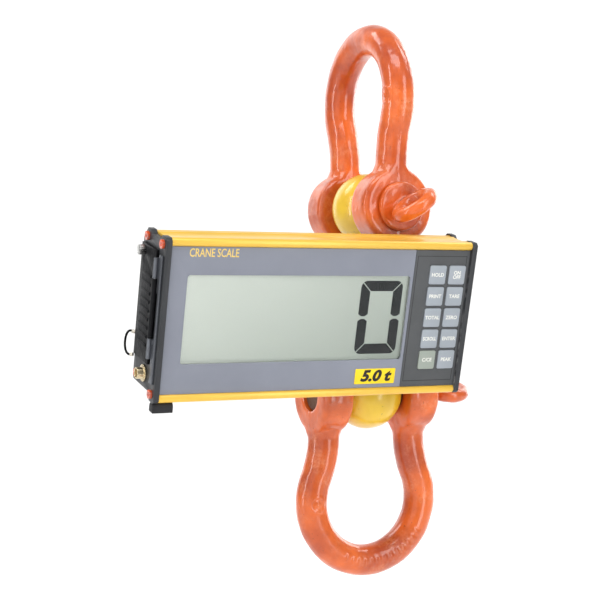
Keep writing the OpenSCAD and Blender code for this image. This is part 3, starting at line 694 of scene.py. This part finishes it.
# The route in part.scad, in millimetres from the load cell's middle
ROUTE = [
    (-2, 84, 0), (-2, 91, 0), (-2, 98, -0.6), (-1, 106, -3), (3, 113, -7.5), (10, 117, -13),
    (19, 117, -19), (28, 112, -25), (36, 104, -30), (43, 92, -34.5), (48, 78, -38.5),
    (51, 62, -41.5), (52.5, 44, -43), (53, 26, -43.3), (52, 8, -42.6), (50, -8, -41),
    (48, -22, -38.6), (45.5, -36, -34.5), (42.8, -48, -29.5), (40.3, -56.5, -23.5),
    (39.0, -62.33, -19.08), (39.0, -63.96, -12.28), (39.0, -64.66, -9.36),
]


def curve_through(points, per):
    """Catmull-Rom curve through points, with per steps between each two."""
    result = []
    for i in range(len(points) - 1):
        a, b, c, d = (points[max(i - 1, 0)], points[i], points[i + 1], points[min(i + 2, len(points) - 1)])
        for k in range(per):
            t = k / per
            result.append(0.5 * (2 * b + (c - a) * t + (2 * a - 5 * b + 4 * c - d) * t * t
                                 + (3 * b - a - 3 * c + d) * t ** 3))
    result.append(points[-1])
    return result


def make_cable():
    """Cable from the plug to the elbow, stretched between the load cell and the display."""
    path = curve_through([cell_at + Vector(p) * MM for p in ROUTE], per=8)
    cable = add_piece("link_cable_lead", tube("link_cable_lead", path, CABLE_D / 2, 24), None,
                      FINISH["cable_grey"], ["link_cable"])
    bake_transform(cable)


make_cable()

# ---------- rope loop on the display's left end ----------


def strands(name, path, radius, count, pitch, around=8):
    """Wire rope: count strands laid around path, each turning once per pitch along it."""
    points, faces = [], []
    strand_r = radius * 0.46                  # neighbouring strands just press into one another
    for s in range(count):
        run, last = 0.0, path[0]
        faces += ring_faces(len(path), around, base=len(points))
        for p, side, other in steps_along(path, X):
            run += (p - last).length
            last = p
            lay = 2 * math.pi * (run / pitch + s / count)
            strand_at = p + (side * math.cos(lay) + other * math.sin(lay)) * (radius - strand_r)
            points += ring(strand_at, side, other, strand_r, around)
    return mesh_of(name, points, faces)


def make_lanyard():
    """Rope loop at the back corner of the display's left end, with a crimped ferrule at each end."""
    centre, rope_r = middle("lanyard_loop"), 0.9 * MM
    low, high = span_of("lanyard_loop", centre)
    half = (high.z - low.z) / 2 - rope_r
    foot = centre + X * (high.x - rope_r) + BACK * (low.y + rope_r) + UP * (low.z + high.z) / 2
    out = BACK * (high.y - low.y - 2 * rope_r) - X * (high.x - low.x - 2 * rope_r)
    path, steps = [], 60
    for i in range(steps + 1):
        a = math.pi * i / steps
        rise = half * math.cos(a) * (0.72 + 0.28 * math.sin(a))     # feet closer together than its belly
        path.append(foot + UP * rise + out * math.sin(a) ** 0.8)
    rope = strands("lanyard_rope", path, radius=0.85 * MM, count=6, pitch=7 * MM)
    add_piece("lanyard_rope", rope, "display", FINISH["rope_black"], ["lanyard_loop"])
    for name, start, inward in (("upper", path[0], path[4]), ("lower", path[-1], path[-5])):
        run = curve_through([start + (inward - start) * t for t in (0, 0.5, 1)], per=3)
        sleeve = tube("ferrule_" + name, run, radius=1.35 * MM, around=20)
        add_piece("ferrule_" + name, sleeve, "display", FINISH["nickel"])


make_lanyard()

# ---------- display: digits, lettering and lines ----------


def flat_shape(name, outlines, at, thick, body, finish):
    """Flat outlines, in millimetres right and up from at, raised towards the reader by thick."""
    work = bmesh.new()
    for outline in outlines:
        work.faces.new([work.verts.new(at + (X * x + UP * z) * MM) for x, z in outline])
    work.normal_update()
    raised = bmesh.ops.extrude_face_region(work, geom=work.faces[:])
    top = [g for g in raised["geom"] if isinstance(g, bmesh.types.BMVert)]
    bmesh.ops.translate(work, verts=top, vec=-BACK * thick * MM)
    bmesh.ops.recalc_face_normals(work, faces=work.faces[:])
    mesh = bpy.data.meshes.new(name)
    work.to_mesh(mesh)
    work.free()
    add_piece(name, mesh, body, finish, smooth=False)


def arc(cx, cz, r, from_deg, to_deg, steps):
    """Points on a circle from one angle to another."""
    turns = [math.radians(from_deg + (to_deg - from_deg) * i / steps) for i in range(steps + 1)]
    return [(cx + r * math.cos(a), cz + r * math.sin(a)) for a in turns]


def seven_segments(w, h, t, r, split, waist):
    """Outlines of the six outer bars of a seven-segment numeral, w by h, with corners of radius r.

    split is the gap between a bar and its neighbour at a corner, and waist the gap at mid-height.
    """
    corner_steps, tip_from, tip_to, taper = 4, 0.32, 0.68, 1.3
    x, z, g = w / 2, h / 2, split / math.sqrt(2)
    bend = -x + r * (1 - math.sqrt(0.5)) + g / 2
    over = z - r * (1 - math.sqrt(0.5)) + g / 2
    top = [(-x + t + g, z - t), (bend, over)] + arc(-x + r, z - r, r, 128, 90, corner_steps)
    top += [(-p[0], p[1]) for p in reversed(top)]
    post = [(-x + t, z - t - g), (bend - g, over - g)] + arc(-x + r, z - r, r, 142, 180, corner_steps)
    post += [(-x, waist * taper), (-x + t * tip_from, waist / 2), (-x + t * tip_to, waist / 2),
             (-x + t, waist * taper)]
    bars = [top, [(p[0], -p[1]) for p in top]]
    return bars + [[(p[0] * a, p[1] * b) for p in post] for a in (-1, 1) for b in (-1, 1)]


glass_low = span_of("lcd_glass", FRONT)[0]
window_low, window_high = span_of("window", FRONT)
DIGIT = {"w": 34.0, "h": 54.4, "t": 7.6, "r": 5.0, "split": 0.7, "waist": 2.0}
DIGIT_RIGHT = 4.0                             # its right edge, in from the window's
AHEAD = 0.02 * MM                             # how far numeral and legends are in front of their face


def make_digit():
    """Numeral at the right end of the window, on the LCD glass."""
    across = window_high.x - (DIGIT_RIGHT + DIGIT["w"] / 2) * MM
    at = FRONT + X * across + UP * (window_low.z + window_high.z) / 2 + BACK * (glass_low.y - AHEAD)
    flat_shape("lcd_numeral", seven_segments(**DIGIT), at, 0.12, "display", EXTRA["lcd_ink"])


make_digit()


def frame_line(name, x0, z0, x1, z1, width, finish):
    """Thin raised line around a rectangle on the face, in millimetres from the panel's middle."""
    bars = [[(x0, z0), (x1, z0), (x1, z0 + width), (x0, z0 + width)],
            [(x0, z1 - width), (x1, z1 - width), (x1, z1), (x0, z1)],
            [(x0, z0 + width), (x0 + width, z0 + width), (x0 + width, z1 - width), (x0, z1 - width)],
            [(x1 - width, z0 + width), (x1, z0 + width), (x1, z1 - width), (x1 - width, z1 - width)]]
    at = FRONT + BACK * (span_of("keypad_panel", FRONT)[0].y + 0.01 * MM)
    flat_shape(name, bars, at, 0.05, "display", finish)


def make_lines():
    """Printed border around the keypad."""
    beside, beside_end, above = 1.6, 2.6, 4.2     # margins left, right, and over and under it
    low, high = span_of("keypad_panel", FRONT)
    x0, z0, x1, z1 = (v / MM for v in (low.x, low.z, high.x, high.z))
    frame_line("keypad_border", x0 + beside, z0 + above, x1 - beside_end, z1 - above, 0.5,
               EXTRA["keypad_line"])


make_lines()

PRINT_H = 0.06                                # how far the lettering stands up, in millimetres
CAPITALS = 0.69                               # height of the capitals in a font of size 1
LETTERS_ACROSS_KEY = 5.0                      # longer legends are squeezed
TITLE_AT = (-85.6, 47.2)                      # right and up from the front panel's middle


def lettering(name, text, at, height, body, finish, stretch=1.0, lean=0.0, bold=0.0):
    """Raised print: text centred on at, with capitals of that height in millimetres."""
    curve = bpy.data.curves.new(name, "FONT")
    curve.body = text
    curve.align_x, curve.align_y = "CENTER", "CENTER"
    curve.size = height / CAPITALS * MM
    curve.extrude = PRINT_H / 2 * MM
    curve.offset = bold * MM
    curve.shear = lean
    curve.space_line = 0.85
    curve.resolution_u = 3
    holder = bpy.data.objects.new(name + "_text", curve)
    bpy.context.scene.collection.objects.link(holder)
    mesh = bpy.data.meshes.new_from_object(holder.evaluated_get(bpy.context.evaluated_depsgraph_get()))
    bpy.data.objects.remove(holder)
    bpy.data.curves.remove(curve)
    squeeze = Matrix.Diagonal((stretch, 1, 1, 1))
    mesh.transform(Matrix.Translation(at) @ FACE_TURN.to_4x4() @ squeeze)
    mesh.name = name
    add_piece(name, mesh, body, finish, smooth=False)


def make_print():
    """Title, capacity and the keys' legends."""
    lettering("panel_title", "CRANE SCALE", on_face(*TITLE_AT, -PRINT_H / 2), 5.6, "display",
              EXTRA["print_yellow"], stretch=0.70, bold=0.08)
    low, high = span_of("capacity_label", FRONT)
    at = FRONT + (X * (low.x + high.x) + UP * (low.z + high.z)) / 2 + BACK * (low.y - PRINT_H / 2 * MM)
    lettering("capacity_print", "5.0 t", at, 7.8, "display", EXTRA["print_black"],
              stretch=1.15, lean=0.25, bold=0.55)
    words = {"key_hold": "HOLD", "key_power": "ON\nOFF", "key_print": "PRINT", "key_tare": "TARE",
             "key_total": "TOTAL", "key_zero": "ZERO", "key_scroll": "SCROLL", "key_enter": "ENTER",
             "key_cancel": "C/CE", "key_peak": "PEAK"}
    for key, word in words.items():
        low, high = span_of(key, FRONT)
        at = FRONT + (X * (low.x + high.x) + UP * (low.z + high.z)) / 2 + BACK * (low.y - AHEAD)
        widest = max(len(line) for line in word.split())
        lettering(key + "_legend", word, at, 2.6, key, EXTRA["print_white"],
                  stretch=min(1.0, LETTERS_ACROSS_KEY / widest), bold=0.10)


make_print()

# ---------- floor, backdrop and light ----------


def make_stage():
    """Pale floor that curves up into a backdrop, well below and behind the hanging scale."""
    low, front, back, high, bend, half, steps = -0.62, -3.0, 2.2, 3.2, 0.9, 4.0, 12
    profile = [(front, low), (back - bend, low)]
    for i in range(1, steps + 1):
        a = math.pi / 2 * i / steps
        profile.append((back - bend + bend * math.sin(a), low + bend - bend * math.cos(a)))
    profile.append((back, high))
    turn = Matrix.Rotation(-YAW, 3, "Z")
    points = [turn @ Vector((x, y, z)) for y, z in profile for x in (-half, half)]
    faces = [(2 * i, 2 * i + 1, 2 * i + 3, 2 * i + 2) for i in range(len(profile) - 1)]
    floor = bpy.data.objects.new("floor", mesh_of("floor", points, faces))
    bpy.context.scene.collection.objects.link(floor)
    floor.data.shade_smooth()
    m = Nodes("floor")
    m.set(Base_Color=(0.86, 0.86, 0.86, 1), Roughness=0.9)
    floor.data.materials.append(m.material)


def area_light(name, place, size, power, aim):
    """Rectangular light at a place that faces aim; size in metres, power in watts."""
    light = bpy.data.lights.new(name, "AREA")
    light.shape = "RECTANGLE"
    light.size, light.size_y = size
    light.energy = power
    obj = bpy.data.objects.new(name, light)
    obj.location = place
    obj.rotation_euler = (aim - place).to_track_quat("-Z", "Y").to_euler()
    bpy.context.scene.collection.objects.link(obj)


def softbox(name, aside, ahead, above, size, power):
    """Area light placed from the camera's side: right, towards the camera and up from the load cell."""
    place = cell_at + RIGHT * aside + Vector((AWAY.x, AWAY.y, 0)) * ahead + Z * above
    area_light(name, place, size, power, cell_at)


def make_light():
    """Soft light from all round, with boxes for the highlights and two lights for the backdrop."""
    world = bpy.data.worlds.new("studio")
    bpy.context.scene.world = world
    world.use_nodes = True
    world.node_tree.nodes["Background"].inputs["Color"].default_value = (1, 1, 1, 1)
    world.node_tree.nodes["Background"].inputs["Strength"].default_value = 0.36
    softbox("left_box", -1.3, 0.65, 0.25, (0.16, 1.5), 7.0)
    softbox("front_box", -0.55, 1.25, -0.05, (0.9, 1.7), 3.5)
    softbox("right_box", 0.95, 1.0, 0.25, (0.40, 1.5), 9)
    softbox("top_box", -0.1, 0.75, 1.25, (1.2, 0.5), 10)
    softbox("rear_left_box", -1.0, -1.1, 0.5, (0.8, 1.2), 2.5)
    softbox("rear_right_box", 1.0, -1.1, 0.4, (0.8, 1.2), 8)
    for i, aside in enumerate((-1.4, 1.4)):
        place = cell_at + RIGHT * aside - Vector((AWAY.x, AWAY.y, 0)) * 0.6 + Z * 1.7
        area_light("backdrop_light_%d" % i, place, (1.2, 1.2), 26, place - AWAY * 1.5 - Z * 1.7)


make_stage()
make_light()
bpy.context.scene.view_settings.view_transform = "Standard"
